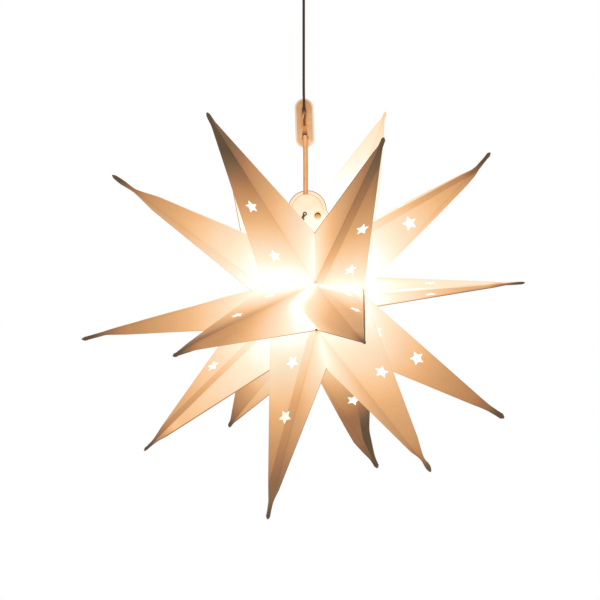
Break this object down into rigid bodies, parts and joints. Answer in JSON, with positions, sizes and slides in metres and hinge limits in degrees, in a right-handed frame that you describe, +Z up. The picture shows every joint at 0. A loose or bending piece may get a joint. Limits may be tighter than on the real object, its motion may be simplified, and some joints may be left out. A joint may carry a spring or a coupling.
{
  "type": "paper star lantern",
  "caption": "Hanging folded paper star lantern with long four-sided spikes and star cut-outs, lit from inside, on a flat lamp cord from a small ceiling cup.",
  "frame": {"origin": "centre of the ceiling cup, on the face that meets the ceiling", "axes": "+Z up out of that face into the ceiling, cord down along -Z; -Y is the side where the tie and the front seam are"},
  "size_m": [0.5624, 0.5528, 0.7074],
  "materials": {
    "paper": "matte folded paper sheet, cream white",
    "tab_paper": "matte paper sheet",
    "eyelet_brass": "stamped eyelet",
    "tie_wire": "brown coated wire",
    "flex": "flat twin flex, translucent sheath over copper",
    "clip_plastic": "translucent moulded strip",
    "holder_plastic": "moulded white plastic",
    "socket_brass": "plain stamped brass",
    "lamp_metal": "rolled screw base",
    "lamp_glass": "frosted warm white",
    "cup_plastic": "white moulded plastic",
    "zinc_steel": "zinc plated",
    "block_plastic": "white connector block"
  },
  "bodies": {
    "ceiling": {"ceiling_cup": "cup_plastic", "ceiling_strap": "zinc_steel", "cup_screws": "zinc_steel", "terminal_block": "block_plastic", "terminal_screws": "socket_brass", "supply_lead": "flex", "outlet_collar": "cup_plastic"},
    "bead": {"outlet_bead": "cup_plastic"},
    "pendant": {"cord": "flex", "cord_clip": "clip_plastic", "holder_cap": "holder_plastic", "holder_body": "holder_plastic", "socket_sleeve": "socket_brass", "socket_contact": "socket_brass"},
    "bulb": {"bulb_base": "lamp_metal", "bulb_contact": "socket_brass", "bulb_glass": "lamp_glass"},
    "star": {"upper_spike_1": "paper", "upper_spike_2": "paper", "upper_spike_3": "paper", "upper_spike_4": "paper", "upper_spike_5": "paper", "upper_spike_6": "paper", "middle_spike_1": "paper", "middle_spike_2": "paper", "middle_spike_3": "paper", "middle_spike_4": "paper", "middle_spike_5": "paper", "middle_spike_6": "paper", "lower_spike_1": "paper", "lower_spike_2": "paper", "lower_spike_3": "paper", "lower_spike_4": "paper", "lower_spike_5": "paper", "lower_spike_6": "paper", "front_tab": "tab_paper", "rear_tab": "tab_paper", "tab_eyelet": "eyelet_brass", "tab_hook": "tie_wire"}
  },
  "joints": [
    {"name": "swing_fore_aft", "type": "hinge", "parent": "ceiling", "child": "bead", "pos_m": [0, 0, -0.041], "axis": [1, 0, 0], "range_deg": [-10, 10]},
    {"name": "swing_sideways", "type": "hinge", "parent": "bead", "child": "pendant", "pos_m": [0, 0, -0.041], "axis": [0, 1, 0], "range_deg": [-10, 10]},
    {"name": "star_tilt", "type": "hinge", "parent": "pendant", "child": "star", "pos_m": [0.0025, 0, -0.31], "axis": [0, 1, 0], "range_deg": [-5, 10]},
    {"name": "bulb_turn", "type": "hinge", "parent": "pendant", "child": "bulb", "pos_m": [0.0025, 0, -0.435], "axis": [0, 0, 1], "range_deg": [0, 540]}
  ]
}
